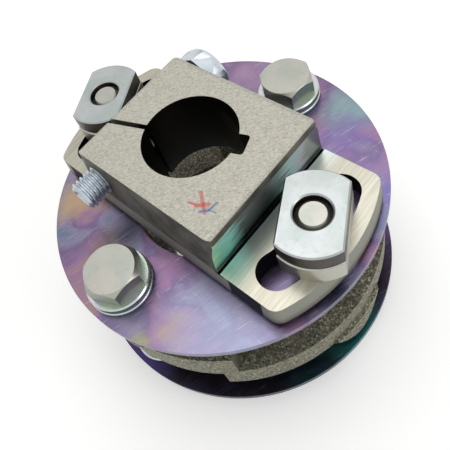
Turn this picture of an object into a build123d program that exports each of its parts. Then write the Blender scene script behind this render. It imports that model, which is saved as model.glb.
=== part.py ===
"""Flexible disc coupling: a split clamp hub with two slotted ears, bolted through two
packs of thin steel discs to a cast spider, with the axis along +Z and the lowest bolt
heads on z = 0."""

from build123d import *
import math
import os

os.makedirs("parts", exist_ok=True)

# ---------------------------------------------------------------- driving sizes (mm)
bore_diameter = 35.0
lamination_thickness = 0.5
lamination_count = 5
disc_outer_margin = 14.4         # bolt circle to the rim of the discs
disc_inner_margin = 14.6         # bolt circle to the opening of the discs
disc_hole_diameter = 13.0
disc_pack_spacing = 51.7         # underside of one pack to underside of the other

thread_diameter = 12.0
thread_clearance = 0.1           # on the diameter, bolt in its tapped hole
bolt_hole_clearance = 1.0        # on the diameter, bolt in a plain hole
head_across_flats = 19.0
head_height = 7.5
head_face_diameter = 18.6        # flat top of a head, inside its chamfer
thread_point_chamfer = 1.2

washer_diameter = 24.2
washer_thickness = 3.0
washer_edge = 0.5
seat_washer_diameter = 24.8
seat_washer_thickness = 1.7
seat_washer_edge = 0.6

hub_side_wall = 11.7             # bore to the foot of the hub's long sides
ear_outer_margin = 12.3          # bolt circle to the rim of the ears
hub_corner_radius = 5.0
ear_thickness = 8.3
hub_height = 27.4                # underside of the ears to the top of the block
block_end_wall = 3.5             # clamp bolt hole to the foot of the block's end
ear_bolt_reach = 15.0            # block's end to the ear bolt's axis
block_corner_radius = 2.0
forging_draft = 4.4
block_front_edge_radius = 0.8
block_back_edge_radius = 3.2
boss_wall = 5.5
boss_drop = 3.0
keyway_width = 8.0
keyway_depth = 3.7               # bore wall to the floor of the keyway
keyway_corner_radius = 1.2
key_angle = 18.5                 # keyway from +X, the split is on the far side
split_width = 2.0
milled_top_height = 15.4         # milled flank above the ears
milled_foot_inset = 1.3          # flank foot behind its top edge
milled_hollow = 0.5
relief_width = 1.2
relief_depth = 0.8
slot_clearance = 1.2             # on the width, bolt in its slot
slot_half_angle = 20.4

clamp_bolt_wall = 0.6            # bore to the clamp bolt's hole
clamp_bolt_height = 16.1         # above the underside of the ears
clamp_bolt_proud = 8.3           # point of the bolt beyond the foot of the hub's side
clamp_seat_depth = 1.7           # spot face below the foot of the hub's side
clamp_seat_diameter = 23.0
clamp_head_turn = 31.0
clamp_cup_diameter = 7.5
clamp_cup_depth = 1.2

nut_radius = 15.4
nut_across_flats = 20.2
nut_thickness = 6.5
nut_turn = 28.3
nut_edge = 0.5
nut_countersink = 0.5
plate_radius = 15.8
plate_thickness = 7.75
plate_edge = 0.4
ear_bolt_length = 30.0
ear_bolt_point_chamfer = 1.8

disc_bolt_length = 30.0
near_head_turn = 25.9
far_head_turn = 18.9
lower_nut_height = 10.0

spider_outer_margin = 11.9       # bolt circle to the rim of the sectors
lug_outer_margin = 13.2          # bolt circle to the turned ends of the lugs
spider_opening_diameter = 51.0
spider_mouth_width = 4.3         # step round the opening
spider_mouth_depth = 1.0
spider_web_overlap = 0.4         # web beyond the bolt circle
spider_web_thickness = 7.4
high_sector_inner_margin = 15.6  # bolt circle to the inside of the high sectors
low_sector_thickness = 11.8
low_sector_half_angle = 51.5
low_sector_drop = 8.5            # lower lug face to the underside of the low sectors
high_sector_thickness = 14.5
high_sector_half_angle = 44.0
high_sector_drop = 10.3          # upper lug face to the top of the high sectors
lug_face_radius = 13.2
lug_foot_radius = 17.6
casting_edge_radius = 1.5

# ---------------------------------------------------------------- sizes that follow
bolt_hole_diameter = thread_diameter + bolt_hole_clearance
tapped_hole_diameter = thread_diameter + thread_clearance
slot_width = thread_diameter + slot_clearance

hub_base_half_width = bore_diameter / 2 + hub_side_wall
boss_diameter = bore_diameter + 2 * boss_wall
keyway_top = bore_diameter / 2 + keyway_depth
clamp_bolt_x = -(bore_diameter / 2 + clamp_bolt_wall + bolt_hole_diameter / 2)
clamp_seat_y = hub_base_half_width - clamp_seat_depth
clamp_bolt_length = clamp_seat_y + hub_base_half_width + clamp_bolt_proud
block_half_length = bolt_hole_diameter / 2 + block_end_wall - clamp_bolt_x
bolt_circle_radius = block_half_length + ear_bolt_reach
hub_base_radius = bolt_circle_radius + ear_outer_margin

disc_diameter = 2 * (bolt_circle_radius + disc_outer_margin)
disc_opening_diameter = 2 * (bolt_circle_radius - disc_inner_margin)
spider_rim_radius = bolt_circle_radius + spider_outer_margin
spider_mouth_diameter = spider_opening_diameter + 2 * spider_mouth_width
spider_web_radius = bolt_circle_radius + spider_web_overlap
spider_high_inner_radius = bolt_circle_radius - high_sector_inner_margin
lug_reach = bolt_circle_radius + lug_outer_margin

# ---------------------------------------------------------------- heights from the sizes
pack_thickness = lamination_thickness * lamination_count

lower_pack_bottom = head_height + washer_thickness + seat_washer_thickness
lower_pack_top = lower_pack_bottom + pack_thickness
upper_pack_bottom = lower_pack_bottom + disc_pack_spacing
upper_pack_top = upper_pack_bottom + pack_thickness

spider_bottom = lower_pack_top + washer_thickness
spider_top = upper_pack_bottom - washer_thickness
low_sector_bottom = spider_bottom + low_sector_drop
low_sector_top = low_sector_bottom + low_sector_thickness
high_sector_top = spider_top - high_sector_drop
high_sector_bottom = high_sector_top - high_sector_thickness

ear_bottom = upper_pack_top + washer_thickness
ear_top = ear_bottom + ear_thickness
hub_top = ear_bottom + hub_height
boss_bottom = ear_bottom - boss_drop
plate_top = ear_top + plate_thickness
ear_bolt_seat = upper_pack_bottom - washer_thickness
disc_bolt_seat = upper_pack_top + seat_washer_thickness + washer_thickness
lower_bolt_seat = head_height
flange_bolt_seat = lower_pack_top + washer_thickness
clamp_bolt_z = ear_bottom + clamp_bolt_height

right, near, left, far = 0.0, -90.0, 180.0, 90.0
ear_sides = {"right": right, "left": left}
disc_sides = {"near": near, "far": far}


def on_circle(angle, radius=bolt_circle_radius):
    """Point of the bolt circle at an angle from +X."""
    return radius * math.cos(math.radians(angle)), radius * math.sin(math.radians(angle))


def seat_up(angle, height):
    """Plane on a bolt axis at a height, facing up."""
    x, y = on_circle(angle)
    return Plane(origin=(x, y, height), x_dir=(1, 0, 0), z_dir=(0, 0, 1))


def seat_down(angle, height):
    """Plane on a bolt axis at a height, facing down."""
    x, y = on_circle(angle)
    return Plane(origin=(x, y, height), x_dir=(1, 0, 0), z_dir=(0, 0, -1))


def side_of(plane):
    """Plane through the axis of another plane: its y runs along that axis."""
    return Plane(origin=plane.origin, x_dir=plane.x_dir, z_dir=-plane.y_dir)


def save(part, name):
    """Give a finished sub-part its name and write it."""
    part.label = name
    export_step(part, f"parts/{name}.step")


def hex_bolt(seat, length, head_turn, point_chamfer):
    """Hexagon head bolt: the head stands on its seat plane and the shank hangs from it."""
    corner_radius = head_across_flats / math.sqrt(3)
    corner_drop = corner_radius - head_face_diameter / 2
    with BuildPart() as bolt:
        with BuildSketch(seat):
            RegularPolygon(head_across_flats / 2, 6, major_radius=False, rotation=head_turn)
        extrude(amount=head_height)
        with BuildSketch(side_of(seat)):
            with BuildLine():
                Polyline(
                    (0, 0),
                    (corner_radius, 0),
                    (corner_radius, head_height - corner_drop),
                    (head_face_diameter / 2, head_height),
                    (0, head_height),
                    close=True,
                )
            make_face()
        revolve(axis=Axis(seat.origin, seat.z_dir), mode=Mode.INTERSECT)
        with BuildSketch(seat):
            Circle(thread_diameter / 2)
        extrude(amount=-length)
        point = bolt.faces().sort_by(Axis(seat.origin, seat.z_dir))[0]
        chamfer(point.edges(), point_chamfer)
    return bolt.part


def round_washer(seat, diameter, thickness, edge, rounded=False):
    """Flat washer standing on its seat plane."""
    with BuildPart() as washer:
        with BuildSketch(seat):
            Circle(diameter / 2)
            Circle(bolt_hole_diameter / 2, mode=Mode.SUBTRACT)
        extrude(amount=thickness)
        rim = washer.edges().filter_by(GeomType.CIRCLE).group_by(SortBy.RADIUS)[-1]
        if rounded:
            fillet(rim, edge)
        else:
            chamfer(rim, edge)
    return washer.part


def flatted_disc(seat, radius, thickness, hole_diameter, edge, countersink):
    """Round plate with two parallel flats, as used for the ear nuts and their plates."""
    with BuildPart() as plate:
        with BuildSketch(seat):
            Circle(radius)
            Rectangle(nut_across_flats, 2 * radius, rotation=nut_turn, mode=Mode.INTERSECT)
            Circle(hole_diameter / 2, mode=Mode.SUBTRACT)
        extrude(amount=thickness)
        top = plate.faces().sort_by(Axis.Z)[-1]
        chamfer(top.outer_wire().edges(), edge)
        if countersink > 0:
            top = plate.faces().sort_by(Axis.Z)[-1]
            chamfer(top.inner_wires().edges(), countersink)
    return plate.part


def sector_pair(angles, half_angle):
    """Two opposite sectors of the spider's disc, each centred on one of the angles."""
    reach = 2 * spider_rim_radius
    with BuildSketch() as sectors:
        for angle in angles:
            with BuildLine():
                Polyline(
                    (0, 0),
                    on_circle(angle - half_angle, reach),
                    on_circle(angle, reach),
                    on_circle(angle + half_angle, reach),
                    close=True,
                )
            make_face()
        Circle(spider_rim_radius, mode=Mode.INTERSECT)
    return sectors.sketch


# ---------------------------------------------------------------- clamp hub, one forging
with BuildPart() as clamp_hub:
    # block: a section across Y with rounded shoulders, cut to a drafted length along X
    top_inset = hub_height * math.tan(math.radians(forging_draft))
    with BuildSketch(Plane.YZ.offset(-block_half_length)):
        with BuildLine():
            Polyline(
                (-hub_base_half_width, ear_bottom),
                (hub_base_half_width, ear_bottom),
                (hub_base_half_width - top_inset, hub_top),
                (top_inset - hub_base_half_width, hub_top),
                close=True,
            )
        shoulders = make_face().vertices().group_by(Axis.Z)[-1].sort_by(Axis.Y)
        fillet(shoulders[-1], block_back_edge_radius)
        fillet(shoulders[0], block_front_edge_radius)
    extrude(amount=2 * block_half_length)
    with BuildSketch(Plane.XZ.offset(-hub_base_half_width)):
        with BuildLine():
            Polyline(
                (-block_half_length, ear_bottom),
                (block_half_length, ear_bottom),
                (block_half_length - top_inset, hub_top),
                (top_inset - block_half_length, hub_top),
                close=True,
            )
        make_face()
    extrude(amount=2 * hub_base_half_width, mode=Mode.INTERSECT)
    corners = clamp_hub.edges().filter_by(lambda edge: abs(edge.center().X) > 0.9 * block_half_length)
    corners = corners.filter_by(lambda edge: ear_bottom + 1 < edge.center().Z < hub_top - 0.2)
    fillet(corners, block_corner_radius)

    # base plate with the two ears, its sides drafted towards the top
    with BuildSketch(Plane.XY.offset(ear_bottom)):
        Circle(hub_base_radius)
        Rectangle(2 * hub_base_radius, 2 * hub_base_half_width, mode=Mode.INTERSECT)
        fillet(vertices(), hub_corner_radius)
    extrude(amount=ear_thickness, taper=forging_draft)

    # boss round the bore, below the ears
    with BuildSketch(Plane.XY.offset(ear_bottom)):
        Circle(boss_diameter / 2)
    extrude(amount=-boss_drop)

    # milled flanks above the ears: hollow faces with a relief groove along their foot
    flank_top_z = ear_top + milled_top_height
    flank_top_x = block_half_length - (flank_top_z - ear_bottom) * math.tan(math.radians(forging_draft))
    flank_foot_x = flank_top_x - milled_foot_inset
    flank_middle_x = (flank_top_x + flank_foot_x) / 2 - milled_hollow
    for side in (1, -1):
        with BuildSketch(Plane.XZ.offset(-1.5 * hub_base_half_width)):
            with BuildLine():
                ThreePointArc(
                    (side * flank_top_x, flank_top_z),
                    (side * flank_middle_x, (flank_top_z + ear_top) / 2),
                    (side * flank_foot_x, ear_top),
                )
                Polyline(
                    (side * flank_foot_x, ear_top),
                    (side * flank_foot_x, ear_top - relief_depth),
                    (side * (flank_foot_x + relief_width), ear_top - relief_depth),
                    (side * (flank_foot_x + relief_width), ear_top),
                    (side * (hub_base_radius + 1), ear_top),
                    (side * (hub_base_radius + 1), flank_top_z),
                    (side * flank_top_x, flank_top_z),
                )
            make_face()
        extrude(amount=3 * hub_base_half_width, mode=Mode.SUBTRACT)

    # bore with its keyway and, opposite, the split
    with BuildSketch(Plane.XY.offset(boss_bottom)):
        Circle(bore_diameter / 2)
        with BuildSketch(mode=Mode.PRIVATE) as key_outline:
            with Locations((keyway_top / 2, 0)):
                Rectangle(keyway_top, keyway_width)
            fillet(key_outline.vertices().group_by(Axis.X)[-1], keyway_corner_radius)
        add(key_outline.sketch.rotate(Axis.Z, key_angle))
    extrude(amount=hub_top - boss_bottom, mode=Mode.SUBTRACT)
    with BuildSketch(Plane.XY.offset(boss_bottom)):
        with BuildSketch(mode=Mode.PRIVATE) as split_outline:
            with Locations((-bolt_circle_radius / 2, 0)):
                Rectangle(bolt_circle_radius, split_width)
        add(split_outline.sketch.rotate(Axis.Z, key_angle))
    extrude(amount=hub_top - boss_bottom, mode=Mode.SUBTRACT)

    # timing slots through the ears
    for angle in ear_sides.values():
        with BuildSketch(Plane.XY.offset(ear_bottom)):
            SlotArc(
                CenterArc((0, 0), bolt_circle_radius, angle - slot_half_angle, 2 * slot_half_angle),
                slot_width,
            )
        extrude(amount=ear_thickness, mode=Mode.SUBTRACT)

    # clamp bolt hole: spot-faced seat, plain hole as far as the split, tapped beyond it
    clamp_axis_plane = Plane(
        origin=(clamp_bolt_x, clamp_seat_y, clamp_bolt_z), x_dir=(1, 0, 0), z_dir=(0, 1, 0)
    )
    split_y = clamp_bolt_x * math.tan(math.radians(key_angle))
    with BuildSketch(clamp_axis_plane):
        Circle(clamp_seat_diameter / 2)
    extrude(amount=hub_base_half_width, mode=Mode.SUBTRACT)
    with BuildSketch(clamp_axis_plane):
        Circle(bolt_hole_diameter / 2)
    extrude(amount=split_y - clamp_seat_y, mode=Mode.SUBTRACT)
    with BuildSketch(clamp_axis_plane):
        Circle(tapped_hole_diameter / 2)
    extrude(amount=-2 * hub_base_half_width, mode=Mode.SUBTRACT)
save(clamp_hub.part, "clamp_hub")

with BuildPart() as clamp_bolt:
    add(hex_bolt(clamp_axis_plane, clamp_bolt_length, clamp_head_turn, thread_point_chamfer))
    point_plane = clamp_axis_plane.offset(-clamp_bolt_length)
    with BuildSketch(point_plane):
        Circle(clamp_cup_diameter / 2)
    extrude(amount=clamp_cup_depth, mode=Mode.SUBTRACT)
save(clamp_bolt.part, "clamp_bolt")

# ---------------------------------------------------------------- ear fasteners
for side, angle in ear_sides.items():
    save(
        flatted_disc(
            seat_up(angle, ear_top), plate_radius, plate_thickness, bolt_hole_diameter, plate_edge, 0
        ),
        f"ear_plate_{side}",
    )
    save(
        flatted_disc(
            seat_up(angle, plate_top),
            nut_radius,
            nut_thickness,
            tapped_hole_diameter,
            nut_edge,
            nut_countersink,
        ),
        f"ear_nut_{side}",
    )
    save(
        round_washer(seat_up(angle, upper_pack_top), washer_diameter, washer_thickness, washer_edge),
        f"ear_spacer_{side}",
    )
    save(
        round_washer(seat_up(angle, ear_bolt_seat), washer_diameter, washer_thickness, washer_edge),
        f"ear_bolt_washer_{side}",
    )
    save(
        hex_bolt(seat_down(angle, ear_bolt_seat), ear_bolt_length, 0, ear_bolt_point_chamfer),
        f"ear_bolt_{side}",
    )

# ---------------------------------------------------------------- disc packs
for pack, pack_bottom in (("lower", lower_pack_bottom), ("upper", upper_pack_bottom)):
    for index in range(lamination_count):
        with BuildPart() as lamination:
            with BuildSketch(Plane.XY.offset(pack_bottom + index * lamination_thickness)):
                Circle(disc_diameter / 2)
                Circle(disc_opening_diameter / 2, mode=Mode.SUBTRACT)
                with PolarLocations(bolt_circle_radius, 4):
                    Circle(disc_hole_diameter / 2, mode=Mode.SUBTRACT)
            extrude(amount=lamination_thickness)
        save(lamination.part, f"{pack}_disc_{index + 1}")

# ---------------------------------------------------------------- spider, one casting
with BuildPart() as spider:
    # lugs that carry the packs, flared towards the sectors and turned to one reach
    low_flare = low_sector_bottom + casting_edge_radius - spider_bottom
    high_flare = spider_top - high_sector_top + casting_edge_radius
    for angle in ear_sides.values():
        with Locations(seat_up(angle, spider_bottom)):
            Cone(lug_face_radius, lug_foot_radius, low_flare, align=(Align.CENTER, Align.CENTER, Align.MIN))
    for angle in disc_sides.values():
        with Locations(seat_down(angle, spider_top)):
            Cone(lug_face_radius, lug_foot_radius, high_flare, align=(Align.CENTER, Align.CENTER, Align.MIN))
    with BuildSketch(Plane.XY.offset(spider_bottom)):
        Circle(lug_reach)
    extrude(amount=spider_top - spider_bottom, mode=Mode.INTERSECT)

    # low sectors on the +X and -X sides
    with BuildSketch(Plane.XY.offset(low_sector_bottom)):
        add(sector_pair(ear_sides.values(), low_sector_half_angle))
    extrude(amount=low_sector_thickness)

    # high sectors on the -Y and +Y sides
    with BuildSketch(Plane.XY.offset(high_sector_bottom)):
        add(sector_pair(disc_sides.values(), high_sector_half_angle))
        Circle(spider_high_inner_radius, mode=Mode.SUBTRACT)
    extrude(amount=high_sector_thickness)

    # web between them
    with BuildSketch(Plane.XY.offset(low_sector_top)):
        Circle(spider_web_radius)
    extrude(amount=-spider_web_thickness)

    # machined opening through the web
    with BuildSketch(Plane.XY.offset(low_sector_top)):
        Circle(spider_mouth_diameter / 2)
    extrude(amount=-spider_mouth_depth, mode=Mode.SUBTRACT)
    with BuildSketch(Plane.XY.offset(spider_bottom)):
        Circle(spider_opening_diameter / 2)
    extrude(amount=spider_top - spider_bottom, mode=Mode.SUBTRACT)

    # tapped holes through the lugs
    with BuildSketch(Plane.XY.offset(spider_bottom)):
        with PolarLocations(bolt_circle_radius, 4):
            Circle(tapped_hole_diameter / 2)
    extrude(amount=spider_top - spider_bottom, mode=Mode.SUBTRACT)
save(spider.part, "spider")

# ---------------------------------------------------------------- bolts of the upper pack
for side, angle in disc_sides.items():
    head_turn = near_head_turn if side == "near" else far_head_turn
    save(
        round_washer(
            seat_up(angle, upper_pack_top),
            seat_washer_diameter,
            seat_washer_thickness,
            seat_washer_edge,
            rounded=True,
        ),
        f"disc_seat_washer_{side}",
    )
    save(
        round_washer(
            seat_up(angle, upper_pack_top + seat_washer_thickness),
            washer_diameter,
            washer_thickness,
            washer_edge,
        ),
        f"disc_bolt_washer_{side}",
    )
    save(
        round_washer(seat_up(angle, spider_top), washer_diameter, washer_thickness, washer_edge),
        f"upper_lug_washer_{side}",
    )
    save(
        hex_bolt(seat_up(angle, disc_bolt_seat), disc_bolt_length, head_turn, thread_point_chamfer),
        f"disc_bolt_{side}",
    )

# ---------------------------------------------------------------- bolts of the lower pack
for side, angle in ear_sides.items():
    save(
        round_washer(seat_up(angle, lower_pack_top), washer_diameter, washer_thickness, washer_edge),
        f"lower_lug_washer_{side}",
    )
    save(
        round_washer(
            seat_down(angle, lower_pack_bottom),
            seat_washer_diameter,
            seat_washer_thickness,
            seat_washer_edge,
            rounded=True,
        ),
        f"lower_seat_washer_{side}",
    )
    save(
        round_washer(
            seat_down(angle, lower_pack_bottom - seat_washer_thickness),
            washer_diameter,
            washer_thickness,
            washer_edge,
        ),
        f"lower_bolt_washer_{side}",
    )
    save(
        hex_bolt(seat_down(angle, lower_bolt_seat), disc_bolt_length, 0, thread_point_chamfer),
        f"lower_bolt_{side}",
    )

for side, angle in disc_sides.items():
    save(
        round_washer(seat_up(angle, lower_pack_top), washer_diameter, washer_thickness, washer_edge),
        f"flange_bolt_washer_{side}",
    )
    save(
        hex_bolt(seat_up(angle, flange_bolt_seat), flange_bolt_seat, 0, thread_point_chamfer),
        f"flange_bolt_{side}",
    )
    with BuildPart() as flange_nut:
        with BuildSketch(seat_down(angle, lower_pack_bottom)):
            RegularPolygon(head_across_flats / 2, 6, major_radius=False)
            Circle(tapped_hole_diameter / 2, mode=Mode.SUBTRACT)
        extrude(amount=lower_nut_height)
    save(flange_nut.part, f"flange_nut_{side}")
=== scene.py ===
import math
import bmesh
import bpy
from mathutils import Matrix, Vector


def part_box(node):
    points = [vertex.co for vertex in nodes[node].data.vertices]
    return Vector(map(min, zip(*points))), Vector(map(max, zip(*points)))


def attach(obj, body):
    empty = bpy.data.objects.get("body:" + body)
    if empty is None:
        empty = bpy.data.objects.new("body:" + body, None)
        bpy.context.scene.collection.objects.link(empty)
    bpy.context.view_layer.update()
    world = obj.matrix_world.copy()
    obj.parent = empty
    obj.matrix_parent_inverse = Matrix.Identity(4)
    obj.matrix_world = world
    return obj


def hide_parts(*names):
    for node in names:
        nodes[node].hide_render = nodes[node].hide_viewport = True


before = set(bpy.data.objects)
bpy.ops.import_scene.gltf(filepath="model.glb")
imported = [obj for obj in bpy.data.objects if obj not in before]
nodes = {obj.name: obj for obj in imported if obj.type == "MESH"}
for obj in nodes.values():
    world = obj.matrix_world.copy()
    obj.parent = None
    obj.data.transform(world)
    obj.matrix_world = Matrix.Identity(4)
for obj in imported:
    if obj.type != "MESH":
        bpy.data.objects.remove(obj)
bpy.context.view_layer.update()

# Disc coupling: a split clamp hub over two packs of thin steel discs and a cast spider.
# Metres throughout; the bore's axis is +Z and the lowest bolt heads stand on z = 0.

mm = 0.001

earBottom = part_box("ear_spacer_right")[1].z
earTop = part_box("ear_plate_right")[0].z
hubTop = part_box("clamp_hub")[1].z


def toLinear(hexColour):
    values = [int(hexColour[i:i + 2], 16) / 255 for i in (0, 2, 4)]
    return [v / 12.92 if v <= 0.04045 else ((v + 0.055) / 1.055) ** 2.4 for v in values] + [1.0]


def addNode(tree, kind, facts):
    # facts are settings by name, and for a socket its value, its hex colour or what is linked to it
    node = tree.nodes.new("ShaderNode" + kind)
    for key, value in facts.items():
        if isinstance(value, bpy.types.NodeSocket):
            tree.links.new(value, node.inputs[key])
        elif key == "stops":
            ramp = node.color_ramp
            while len(ramp.elements) < len(value):
                ramp.elements.new(1.0)
            for element, (position, colour) in zip(ramp.elements, value):
                element.position = position
                element.color = toLinear(colour)
        elif isinstance(key, str) and hasattr(node, key):
            setattr(node, key, value)
        else:
            node.inputs[key].default_value = toLinear(value) if isinstance(value, str) else value
    return node.outputs


def newMaterial(name, metallic, roughness):
    material = bpy.data.materials.new(name)
    material.use_nodes = True
    tree = material.node_tree
    shader = tree.nodes["Principled BSDF"]
    shader.inputs["Metallic"].default_value = metallic
    shader.inputs["Roughness"].default_value = roughness
    place = addNode(tree, "TexCoord", {})["Object"]
    return material, tree, shader, place


def grainPattern(tree, place, size, detail, roughness, turn=0.0, warp=0.0):
    # a cloudy pattern of a real size: one grain's length, width and height in mm, turned about Z
    turned = addNode(tree, "Mapping", {"Rotation": (0, 0, math.radians(-turn)), "Vector": place})[0]
    counted = addNode(tree, "Mapping", {"Scale": [1 / (side * mm) for side in size], "Vector": turned})[0]
    return addNode(tree, "TexNoise", {
        "Scale": 1.0, "Detail": detail, "Roughness": roughness, "Distortion": warp, "Vector": counted})["Fac"]


def finishShader(tree, shader, colour, roughness, relief, depth, under=None):
    # depth is the relief's height in mm, under is a coarser relief that it lies on
    facts = {"Strength": 1.0, "Distance": depth * mm, "Height": relief}
    if under is not None:
        facts["Normal"] = under
    links = {"Base Color": colour, "Roughness": roughness, "Normal": addNode(tree, "Bump", facts)[0]}
    for socket, source in links.items():
        if source is not None:
            tree.links.new(source, shader.inputs[socket])


def dress(name, material):
    nodes[name].data.materials.clear()
    nodes[name].data.materials.append(material)


def addPiece(name, mesh, replaced):
    piece = bpy.data.objects.new(name, mesh)
    bpy.context.scene.collection.objects.link(piece)
    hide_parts(replaced)
    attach(piece, "root")


discs = {
    "opening": 62.0, "boltHole": 13.0, "edgeRound": 0.02, "rimSides": 160, "holeSides": 32,  # mm
    "roughness": 0.33, "patch": 30.0, "rollingTurn": 72.0, "handlingTurn": -6.0,
    "toneEdges": (0.34, 0.43, 0.50, 0.57, 0.66), "driftWander": 12.0,
}
# each drift of colour: its place in mm, its reach in mm, its colour, its strength
upperDiscs = {
    "tones": ("967D79", "8A6C8C", "6F6080", "807A92", "67738A"), "scratch": "C6BECA",
    "drifts": (
        ((-43, -37), 9, "B59A72", 0.75), ((-36, -30), 8, "AE9274", 0.5), ((24, 55), 10, "7FA39C", 0.6),
        ((40, -42), 20, "8C93A8", 0.6), ((20, -60), 4, "8F9468", 0.7), ((-54, -22), 9, "A98FA0", 0.5),
        ((-14, -43), 9, "6E5F5C", 0.7), ((30, 44), 9, "76639A", 0.5), ((52, 30), 12, "5F6290", 0.6),
        # the drift at (58, -8), a dark navy spot beside the right ear's end, is painted shade
        ((58, -8), 8, "2B3450", 0.8), ((-20, 52), 12, "A68BA4", 0.5),
    ),
}
lowerDiscs = {
    "tones": ("3C3548", "44365A", "2E2932", "353142", "303F4C"), "scratch": "7C7688",
    "drifts": (((60, -4), 13, "2C6E74", 0.85), ((56, -26), 9, "2A5560", 0.6), ((-2, -60), 12, "4C3E74", 0.7)),
}


def rainbowZinc(name, pack, top):
    # cold-rolled steel sheet, zinc plated and blue passivated: interference colours drift over it in
    # soft patches, though one dark drift beside the right ear's end is painted shade; rolling lines and
    # handling scratches, drawn 0.5 mm wide to show, run across them
    material, tree, shader, place = newMaterial(name, 1.0, discs["roughness"])
    patches = grainPattern(tree, place, (discs["patch"],) * 3, 3.0, 0.5, warp=0.5)
    streaks = grainPattern(tree, place, (30.0, 7.0, 30.0), 3.0, 0.6, discs["rollingTurn"])
    patches = addNode(tree, "Math", {"operation": "MULTIPLY", 0: patches, 1: 0.8})[0]
    mixture = addNode(tree, "Math", {"operation": "MULTIPLY_ADD", 0: streaks, 1: 0.2, 2: patches})[0]
    colour = addNode(tree, "ValToRGB", {"stops": tuple(zip(discs["toneEdges"], pack["tones"])), 0: mixture})[0]

    # the drifts' edges wander by a cloud whose middle is half of its reach
    wander, middle = discs["driftWander"], discs["driftWander"] / 2
    ragged = addNode(tree, "TexNoise", {"Scale": 1 / (9 * mm), "Detail": 3.0, "Vector": place})["Color"]
    shift = addNode(tree, "VectorMath", {"operation": "SCALE", "Scale": wander * mm, 0: ragged})[0]
    shifted = addNode(tree, "VectorMath", {"operation": "ADD", 0: place, 1: shift})[0]
    for (x, y), reach, tone, strength in pack["drifts"]:
        centre = ((x + middle) * mm, (y + middle) * mm, top + middle * mm)
        away = addNode(tree, "VectorMath", {"operation": "DISTANCE", 0: shifted, 1: centre})["Value"]
        spot = addNode(tree, "MapRange", {"interpolation_type": "SMOOTHSTEP", 0: away, 1: 0.3 * reach * mm,
                                          2: 1.5 * reach * mm, 3: strength, 4: 0.0})[0]
        colour = addNode(tree, "Mix", {"data_type": "RGBA", 0: spot, 6: colour, 7: tone})[2]

    rolling = grainPattern(tree, place, (9.0, 0.5, 9.0), 2.0, 0.7, discs["rollingTurn"])
    handling = grainPattern(tree, place, (5.0, 0.35, 5.0), 2.0, 0.7, discs["handlingTurn"])
    for pattern, faint, full in ((rolling, 0.62, 0.74), (handling, 0.66, 0.76)):
        line = addNode(tree, "MapRange", {0: pattern, 1: faint, 2: full, 4: 0.45})[0]
        lines = line if pattern is rolling else addNode(tree, "Math", {"operation": "MAXIMUM", 0: lines, 1: line})[0]
    colour = addNode(tree, "Mix", {"data_type": "RGBA", 0: lines, 6: colour, 7: pack["scratch"]})[2]
    roughness = addNode(tree, "Math", {
        "operation": "MULTIPLY_ADD", 0: rolling, 1: 0.24, 2: discs["roughness"] - 0.12})[0]
    finishShader(tree, shader, colour, roughness, rolling, 0.004)
    return material


def discSheet(name, material):
    # a disc cut to its real opening: rim, opening and four bolt holes filled as one flat curve
    low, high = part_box(name)
    edge = discs["edgeRound"] * mm
    curve = bpy.data.curves.new(name + "_sheet", "CURVE")
    curve.dimensions, curve.fill_mode = "2D", "BOTH"
    curve.extrude, curve.bevel_depth = (high.z - low.z) / 2 - edge, edge
    boltCircle = sum(corner.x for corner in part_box("ear_nut_right")) / 2
    rings = [(0, 0, high.x - edge, discs["rimSides"]), (0, 0, discs["opening"] / 2 * mm, discs["rimSides"])]
    for x, y in ((1, 0), (0, 1), (-1, 0), (0, -1)):
        rings.append((boltCircle * x, boltCircle * y, discs["boltHole"] / 2 * mm, discs["holeSides"]))
    for x, y, radius, sides in rings:
        spline = curve.splines.new("POLY")
        spline.points.add(sides - 1)
        for step, point in enumerate(spline.points):
            turn = 2 * math.pi * step / sides
            point.co = (x + radius * math.cos(turn), y + radius * math.sin(turn), 0, 1)
        spline.use_cyclic_u = True
    flat = bpy.data.objects.new("flat", curve)
    bpy.context.scene.collection.objects.link(flat)
    mesh = bpy.data.meshes.new_from_object(flat.evaluated_get(bpy.context.evaluated_depsgraph_get()))
    bpy.data.objects.remove(flat)
    mesh.transform(Matrix.Translation((0, 0, (low.z + high.z) / 2)))
    mesh.materials.clear()
    mesh.materials.append(material)
    addPiece(name + "_sheet", mesh, name)


upperSteel = rainbowZinc("violet passivated sheet", upperDiscs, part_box("upper_disc_5")[1].z)
lowerSteel = rainbowZinc("dark passivated sheet", lowerDiscs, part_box("lower_disc_5")[1].z)
for name in sorted(nodes):
    if "_disc_" in name:
        discSheet(name, upperSteel if name.startswith("upper") else lowerSteel)
print("discs done")


# turn is the direction of the turning lines in degrees, side is the colour of upright faces, a darker
# painted reflection on the nut, the bolt and the washer
fasteners = {
    "nut": {"tone": "AFB3B3", "cast": "A3AAA8", "side": "4A4540", "roughness": 0.36, "turn": 62},
    "plate": {"tone": "B2B3AE", "cast": "A6AAA4", "side": "B4B3A8", "roughness": 0.36, "turn": 62},
    "bolt": {"tone": "AEACA4", "cast": "A3A79E", "side": "8E958A", "roughness": 0.36, "turn": 20},
    "thread": {"tone": "C6CCD2", "cast": "B4BCC4", "side": "BFC7D0", "roughness": 0.30, "turn": 20},
    "washer": {"tone": "BFCBBE", "cast": "C9C8D2", "side": "8FA6A0", "roughness": 0.28, "turn": 20},
}
zincStain = "8F8C84"


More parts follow.
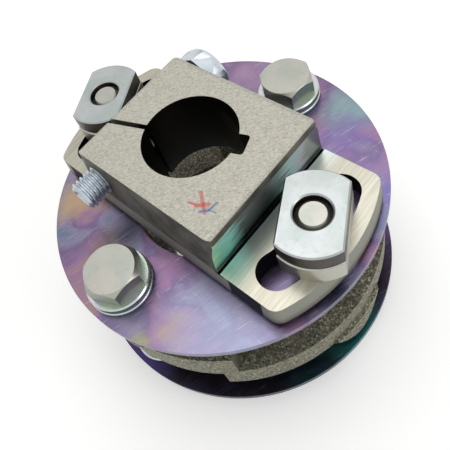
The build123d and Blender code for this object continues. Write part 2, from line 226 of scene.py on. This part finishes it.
def brightZinc(name):
    # turned or headed steel, clear zinc plated: silver satin with a faint greenish or pinkish cast;
    # its turning lines are too fine to see one by one, so they are drawn 0.5 mm apart
    facts = fasteners[name]
    material, tree, shader, place = newMaterial("clear zinc " + name, 1.0, facts["roughness"])
    drift = grainPattern(tree, place, (9.0, 9.0, 9.0), 2.0, 0.5)
    lines = grainPattern(tree, place, (4.0, 0.5, 4.0), 2.0, 0.6, facts["turn"])
    stain = grainPattern(tree, place, (1.6, 1.6, 1.6), 3.0, 0.6)
    normal = addNode(tree, "NewGeometry", {})["Normal"]
    facingUp = addNode(tree, "Math", {
        "operation": "ABSOLUTE", 0: addNode(tree, "SeparateXYZ", {0: normal})[2]})[0]

    colour = facts["tone"]
    # upright faces take the side colour: on the nut, the bolt and the washer a darker painted reflection
    for pattern, start, full, strength, over in (
            (drift, 0.40, 0.62, 1.0, facts["cast"]), (stain, 0.55, 0.75, 0.35, zincStain),
            (facingUp, 0.6, 0.4, 1.0, facts["side"])):
        share = addNode(tree, "MapRange", {0: pattern, 1: start, 2: full, 4: strength})[0]
        colour = addNode(tree, "Mix", {"data_type": "RGBA", 0: share, 6: colour, 7: over})[2]
    roughness = addNode(tree, "Math", {
        "operation": "MULTIPLY_ADD", 0: lines, 1: 0.20, 2: facts["roughness"] - 0.10})[0]
    finishShader(tree, shader, colour, roughness, lines, 0.004)
    return material


zinc = {name: brightZinc(name) for name in fasteners}
for name in sorted(nodes):
    if "_disc_" in name:
        continue
    if "washer" in name or "spacer" in name:
        dress(name, zinc["washer"])
    elif "plate" in name:
        dress(name, zinc["plate"])
    elif "nut" in name:
        dress(name, zinc["nut"])
    elif "bolt" in name:
        dress(name, zinc["bolt"])
print("fasteners done")


hub = {
    "blasted": "BEBBB0", "blastedDark": "A09D93", "pit": 0.6, "pitTurn": 40, "pitDepth": 0.16,  # mm, degrees
    # the upright faces' dark mottled grey is painted shade
    "wallShade": "504F49", "wallShadeLight": "77756C",
    # the pale cyan near the block is a painted reflection of the flank on the ears' tops
    "milled": "A5A193", "milledLine": "BDBAAC", "earFlankReflection": "CFE0E2", "cutterLine": 0.4,
    # groove, slot wall and bore are near-black painted shade in the hollows; the ears' foot colour is painted shade
    # at their bottom
    "earSide": "8F9186", "earFootShade": "6B655F", "groove": "0E1518", "slotWallShade": "15151A", "bore": "22201F",
    "roughRough": 0.58, "smoothRough": 0.30,
    # a painted reflection on the milled flank, light at its ends and dark in its middle, in green-blue tones,
    # from its near end at 0 to its far end at 1
    "flankReach": 29.0,
    "flank": ((0.14, "A8CFA0"), (0.24, "6FB39A"), (0.32, "7CC4B8"), (0.42, "22332C"), (0.62, "1C2A26"),
              (0.76, "4C6A66"), (0.86, "9FC0C0"), (0.96, "B4ACBE"), (1.0, "8E968C")),
}
# brush marks of workshop paint on the block: from and to in mm, half width in mm, colour
paint = {
    "red": "B9504A", "blue": "3D6C9E", "cover": 0.85,
    "strokes": (((19, -15), (25, -20), 0.8, "red"), ((21, -19.5), (24, -17), 1.0, "red"),
                ((18, -20), (21.5, -19), 0.5, "red"), ((26, -15), (25.5, -18.5), 0.5, "blue"),
                ((25.5, -18.5), (23.5, -20.5), 0.6, "blue"), ((28, -18), (25.5, -18.5), 0.3, "blue")),
}


def blastedForging():
    # drop-forged steel, shot blasted: light grey with fine wavy pits; machined where it seats or turns,
    # those faces satin with cutter lines; the milled flanks carry a green-blue painted reflection, and the
    # upright faces, the hollows and the ears' feet are painted darker as shade
    material, tree, shader, place = newMaterial("shot-blasted forging", 0.9, 0.5)
    axes = addNode(tree, "SeparateXYZ", {0: place})
    facing = addNode(tree, "SeparateXYZ", {0: addNode(tree, "NewGeometry", {})["Normal"]})
    level = addNode(tree, "CombineXYZ", {0: axes[0], 1: axes[1]})[0]
    measures = {
        "z": axes[2],
        "side": addNode(tree, "Math", {"operation": "ABSOLUTE", 0: axes[0]})[0],
        "radius": addNode(tree, "VectorMath", {"operation": "LENGTH", 0: level})["Value"],
        "facingUp": addNode(tree, "Math", {"operation": "ABSOLUTE", 0: facing[2]})[0],
        "facingSide": addNode(tree, "Math", {"operation": "ABSOLUTE", 0: facing[0]})[0],
    }
    # a zone is where all of its limits hold; a limit gives what is measured, where it starts and
    # where it is full, in mm or as a share of the normal
    ears, foot = earTop / mm, earBottom / mm
    zones = {
        # wall marks the upright faces, which get painted shade
        "wall": (("facingUp", 0.5, 0.4),),
        "earFace": (("facingUp", 0.6, 0.8), ("z", ears + 0.3, ears + 0.2), ("z", ears - 0.3, ears - 0.2)),
        "flank": (("facingSide", 0.7, 0.8), ("z", ears, ears + 0.1), ("side", 25.0, 26.0),
                  ("z", ears + 15.5, ears + 15.3)),
        "earSide": (("facingUp", 0.5, 0.4), ("z", ears + 0.1, ears)),
        # groove, slotWallShade and inside mark the hollows that get painted shade
        "groove": (("z", ears - 0.2, ears - 0.3), ("side", 34.0, 33.9), ("side", 30.0, 30.1),
                   ("z", ears - 1.2, ears - 1.1)),
        "slotWallShade": (("facingUp", 0.5, 0.4), ("radius", 57.0, 56.8), ("side", 35.5, 36.0)),
        "inside": (("facingUp", 0.5, 0.4), ("radius", 21.6, 21.5)),
        # this zone marks the bottom 3 mm of the ears, where painted shade goes
        "earFootShade": (("z", foot + 3.0, foot),),
    }
    zone = {}
    for name, limits in zones.items():
        zone[name] = 1.0
        for measure, start, full in limits:
            unit = 1.0 if measure.startswith("facing") else mm
            step = addNode(tree, "MapRange", {0: measures[measure], 1: start * unit, 2: full * unit})[0]
            zone[name] = addNode(tree, "Math", {"operation": "MULTIPLY", 0: zone[name], 1: step})[0]

    pitSize = (hub["pit"] * 1.6, hub["pit"], hub["pit"])
    pits = grainPattern(tree, place, pitSize, 3.0, 0.6, hub["pitTurn"], 1.2)
    mottle = grainPattern(tree, place, (7.0, 7.0, 7.0), 3.0, 0.6)
    share = addNode(tree, "MapRange", {0: pits, 1: 0.38, 2: 0.62})[0]
    colour = addNode(tree, "Mix", {"data_type": "RGBA", 0: share, 6: hub["blastedDark"], 7: hub["blasted"]})[2]

    inPits = addNode(tree, "MapRange", {0: pits, 1: 0.30, 2: 0.55})[0]
    for (startX, startY), (endX, endY), half, tone in paint["strokes"]:
        along = Vector((endX - startX, endY - startY, 0)) * mm
        start = (startX * mm, startY * mm, hubTop)
        fromStart = addNode(tree, "VectorMath", {"operation": "SUBTRACT", 0: place, 1: start})[0]
        reached = addNode(tree, "VectorMath", {
            "operation": "DOT_PRODUCT", 0: fromStart, 1: along / along.length_squared})["Value"]
        reached = addNode(tree, "Clamp", {0: reached})[0]
        onLine = addNode(tree, "VectorMath", {"operation": "SCALE", 0: along, "Scale": reached})[0]
        away = addNode(tree, "VectorMath", {"operation": "DISTANCE", 0: fromStart, 1: onLine})["Value"]
        stroke = addNode(tree, "MapRange", {0: away, 1: half * mm, 2: 0.5 * half * mm, 4: paint["cover"]})[0]
        stroke = addNode(tree, "Math", {"operation": "MULTIPLY", 0: stroke, 1: inPits})[0]
        colour = addNode(tree, "Mix", {"data_type": "RGBA", 0: stroke, 6: colour, 7: paint[tone]})[2]

    # the upright faces get a mottled dark grey: painted shade
    share = addNode(tree, "MapRange", {0: mottle, 1: 0.35, 2: 0.7})[0]
    wallShade = addNode(tree, "Mix", {"data_type": "RGBA", 0: share, 6: hub["wallShade"], 7: hub["wallShadeLight"]})[2]

    # cutter lines 0.4 mm apart on the ears, and near the flank a pale cyan painted reflection of it
    lines = grainPattern(tree, place, (hub["cutterLine"], 14.0, 14.0), 2.0, 0.65)
    share = addNode(tree, "MapRange", {0: lines, 1: 0.35, 2: 0.7})[0]
    milled = addNode(tree, "Mix", {"data_type": "RGBA", 0: share, 6: hub["milled"], 7: hub["milledLine"]})[2]
    share = addNode(tree, "MapRange", {0: measures["side"], 1: 40 * mm, 2: 33 * mm, 4: 0.6})[0]
    milled = addNode(tree, "Mix", {"data_type": "RGBA", 0: share, 6: milled, 7: hub["earFlankReflection"]})[2]

    # the flank's colour along Y is a painted reflection, light at the ends and dark in the middle
    streak = grainPattern(tree, place, (30.0, 16.0, 1.6), 3.0, 0.6)
    flankReach = hub["flankReach"] * mm
    reach = addNode(tree, "MapRange", {0: axes[1], 1: -flankReach, 2: flankReach})[0]
    reach = addNode(tree, "Math", {"operation": "MULTIPLY_ADD", 0: streak, 1: 0.30, 2: reach})[0]
    flank = addNode(tree, "ValToRGB", {"stops": hub["flank"], 0: reach})[0]

    # the ears' sides darken over their last 3 mm towards their foot: painted shade
    earSide = addNode(tree, "Mix", {
        "data_type": "RGBA", 0: zone["earFootShade"], 6: hub["earSide"], 7: hub["earFootShade"]})[2]
    # the walls get dark grey painted shade; the groove, the slot walls and the bore get near-black painted shade
    for name, over in (("wall", wallShade), ("earFace", milled), ("flank", flank), ("earSide", earSide),
                       ("groove", hub["groove"]), ("slotWallShade", hub["slotWallShade"]), ("inside", hub["bore"])):
        colour = addNode(tree, "Mix", {"data_type": "RGBA", 0: zone[name], 6: colour, 7: over})[2]

    smooth = addNode(tree, "Math", {"operation": "MAXIMUM", 0: zone["earFace"], 1: zone["flank"]})[0]
    smooth = addNode(tree, "Math", {"operation": "MAXIMUM", 0: smooth, 1: zone["inside"]})[0]
    roughness = addNode(tree, "MapRange", {0: smooth, 3: hub["roughRough"], 4: hub["smoothRough"]})[0]
    pitted = addNode(tree, "MapRange", {0: smooth, 3: 1.0, 4: 0.0})[0]
    relief = addNode(tree, "Math", {"operation": "MULTIPLY", 0: pits, 1: pitted})[0]
    finishShader(tree, shader, colour, roughness, relief, hub["pitDepth"])
    return material


dress("clamp_hub", blastedForging())
print("clamp hub done")


spider = {"grain": 0.8, "grainDepth": 0.22, "lump": 9.0, "lumpDepth": 0.5,  # mm
          "dark": "424239", "olive": "777564", "light": "A09D88", "speck": "DEDAC2", "patch": "8A8774"}


def sandCasting():
    # sand-cast iron, shot blasted: olive grey, sand-grain relief with bright specks on its high points
    material, tree, shader, place = newMaterial("sand-cast iron", 0.75, 0.55)
    grain = grainPattern(tree, place, (spider["grain"],) * 3, 3.0, 0.7)
    lumps = grainPattern(tree, place, (spider["lump"],) * 3, 2.0, 0.5)
    colour = spider["dark"]
    for pattern, start, full, strength, tone in (
            (grain, 0.34, 0.52, 1.0, "olive"), (grain, 0.50, 0.64, 1.0, "light"), (grain, 0.60, 0.68, 1.0, "speck"),
            (lumps, 0.5, 0.7, 0.3, "patch")):
        share = addNode(tree, "MapRange", {0: pattern, 1: start, 2: full, 4: strength})[0]
        colour = addNode(tree, "Mix", {"data_type": "RGBA", 0: share, 6: colour, 7: spider[tone]})[2]
    under = addNode(tree, "Bump", {"Strength": 1.0, "Distance": spider["lumpDepth"] * mm, "Height": lumps})[0]
    finishShader(tree, shader, colour, None, grain, spider["grainDepth"], under)
    return material


dress("spider", sandCasting())
print("spider done")


# rolled M12 thread, in mm: its radii, its plain length's end on the y axis, the cup in its point
thread = {"major": 5.95, "minor": 5.05, "pitch": 1.75, "sides": 64, "rowsPerPitch": 12, "start": -22.0,
          "pointChamfer": 1.2, "cup": 3.75, "cupSlope": 1.0, "cupDepth": 1.2, "crest": 0.18, "flank": 0.62,
          "sharpAngle": 22}


def threadRadius(y, share, endY):
    # the radius in mm at a place along the bolt and a share of a full turn about it
    phase = (y / (thread["pitch"] * mm) - share) % 1.0
    rise = (abs(phase - 0.5) * 2 - thread["crest"]) / thread["flank"]
    radius = thread["minor"] + (thread["major"] - thread["minor"]) * min(1.0, max(0.0, rise))
    return min(radius, thread["major"] - thread["pointChamfer"] + (y - endY) / mm)


def threadedBolt(material):
    # the real bolt's head and shank, with its plain end cut off and a thread in its place
    low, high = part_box("clamp_bolt")
    axisX, axisZ = (low.x + high.x) / 2, (low.z + high.z) / 2
    cutY, endY = thread["start"] * mm, low.y
    bm = bmesh.new()
    bm.from_mesh(nodes["clamp_bolt"].data)
    bmesh.ops.remove_doubles(bm, verts=bm.verts, dist=1e-6)
    cut = bmesh.ops.bisect_plane(bm, geom=bm.verts[:] + bm.edges[:] + bm.faces[:], plane_co=(0, cutY, 0),
                                 plane_no=(0, -1, 0), clear_outer=True)
    bmesh.ops.holes_fill(bm, edges=[e for e in cut["geom_cut"] if isinstance(e, bmesh.types.BMEdge)])

    sides = thread["sides"]
    rows = int((cutY - endY) / (thread["pitch"] * mm) * thread["rowsPerPitch"])
    sections = []
    for row in range(rows + 1):
        y = cutY + (endY - cutY) * row / rows
        sections.append((y, [threadRadius(y, side / sides, endY) for side in range(sides)]))
    for radius, depth in ((thread["cup"], 0.0), (thread["cup"] - thread["cupSlope"], thread["cupDepth"])):
        sections.append((endY + depth * mm, [radius] * sides))

    rings = []
    for y, radii in sections:
        ring = []
        for side, radius in enumerate(radii):
            angle = 2 * math.pi * side / sides
            ring.append(bm.verts.new((axisX + radius * mm * math.cos(angle), y,
                                      axisZ + radius * mm * math.sin(angle))))
        rings.append(ring)
    for first, second in zip(rings, rings[1:]):
        for side in range(sides):
            after = (side + 1) % sides
            bm.faces.new((first[side], first[after], second[after], second[side]))
    bm.faces.new(list(reversed(rings[0])))
    bm.faces.new(rings[-1])
    bmesh.ops.recalc_face_normals(bm, faces=bm.faces)
    mesh = bpy.data.meshes.new("clamp_bolt_threaded")
    bm.to_mesh(mesh)
    bm.free()
    for face in mesh.polygons:
        face.use_smooth = True
    mesh.set_sharp_from_angle(angle=math.radians(thread["sharpAngle"]))
    mesh.materials.append(material)
    addPiece("clamp_bolt_threaded", mesh, "clamp_bolt")


threadedBolt(zinc["thread"])
print("clamp bolt done")


stage = {"floorHalf": 1.2, "floorDrop": 0.0002, "floorColour": "F4F4F2", "floorGlow": 0.35, "worldLight": 0.55}


def shownRays(tree):
    # 1 for the rays that show what is behind the object: to the camera, in polished metal, through glass
    path = addNode(tree, "LightPath", {})
    seen = addNode(tree, "Math", {"operation": "MAXIMUM", 0: path["Is Camera Ray"], 1: path["Is Glossy Ray"]})[0]
    return addNode(tree, "Math", {"operation": "MAXIMUM", 0: seen, 1: path["Is Transmission Ray"]})[0]


def paleFloor():
    half = stage["floorHalf"]
    mesh = bpy.data.meshes.new("floor")
    corners = [(x * half, y * half, -stage["floorDrop"]) for x, y in ((-1, -1), (1, -1), (1, 1), (-1, 1))]
    mesh.from_pydata(corners, [], [(0, 1, 2, 3)])
    floor = bpy.data.objects.new("floor", mesh)
    bpy.context.scene.collection.objects.link(floor)
    # matt white paint: keeps the shadow, and shows white to the camera and in the metal
    material, tree, shader, place = newMaterial("matt white paint", 0.0, 0.9)
    shader.inputs["Base Color"].default_value = toLinear(stage["floorColour"])
    shader.inputs["Emission Color"].default_value = (1, 1, 1, 1)
    glow = addNode(tree, "Math", {"operation": "MULTIPLY", 0: shownRays(tree), 1: stage["floorGlow"]})[0]
    tree.links.new(glow, shader.inputs["Emission Strength"])
    mesh.materials.append(material)


def studioWorld():
    world = bpy.data.worlds.new("studio")
    bpy.context.scene.world = world
    world.use_nodes = True
    tree = world.node_tree
    background = tree.nodes["Background"]
    strength = addNode(tree, "MapRange", {0: shownRays(tree), 3: stage["worldLight"], 4: 1.0})[0]
    tree.links.new(strength, background.inputs["Strength"])
    background.inputs["Color"].default_value = (1, 1, 1, 1)


# metres and watts
lamps = {
    "overhead softbox": {"place": (-0.10, 0.15, 0.80), "size": 0.6, "power": 1.6},
    "side softbox": {"place": (0.70, 0.20, 0.45), "size": 0.4, "power": 1.0},
}
lampTarget = Vector((0, 0, 0.05))


def softbox(name, facts):
    light = bpy.data.lights.new(name, "AREA")
    light.shape = "SQUARE"
    light.size = facts["size"]
    light.energy = facts["power"]
    lamp = bpy.data.objects.new(name, light)
    bpy.context.scene.collection.objects.link(lamp)
    lamp.location = facts["place"]
    lamp.rotation_mode = "QUATERNION"
    lamp.rotation_quaternion = (lampTarget - lamp.location).to_track_quat("-Z", "Y")


# place in mm, angles in degrees: azimuth from -Y about +Z, elevation above the floor, roll about the view
view = {"place": (113.45, -62.27, 241.75), "azimuth": 64.04, "elevation": 49.15, "roll": -26.49,
        "lens": 45.72, "shift": (0.1083, -0.1642), "clip": (0.01, 10)}


def standCamera():
    azimuth, elevation, roll = (math.radians(view[key]) for key in ("azimuth", "elevation", "roll"))
    back = Vector((math.sin(azimuth) * math.cos(elevation), -math.cos(azimuth) * math.cos(elevation),
                   math.sin(elevation)))
    across = Vector((math.cos(azimuth), math.sin(azimuth), 0))
    up = back.cross(across)
    right = math.cos(roll) * across + math.sin(roll) * up
    top = math.cos(roll) * up - math.sin(roll) * across
    data = bpy.data.cameras.new("camera")
    data.lens = view["lens"]
    data.sensor_width = 36
    data.shift_x, data.shift_y = view["shift"]
    data.clip_start, data.clip_end = view["clip"]
    camera = bpy.data.objects.new("camera", data)
    bpy.context.scene.collection.objects.link(camera)
    turned = Matrix((right, top, back)).transposed().to_4x4()
    camera.matrix_world = Matrix.Translation(Vector(view["place"]) * mm) @ turned
    bpy.context.scene.camera = camera


paleFloor()
studioWorld()
for name, facts in lamps.items():
    softbox(name, facts)
standCamera()
bpy.context.scene.view_settings.view_transform = "Standard"
print("stage done")
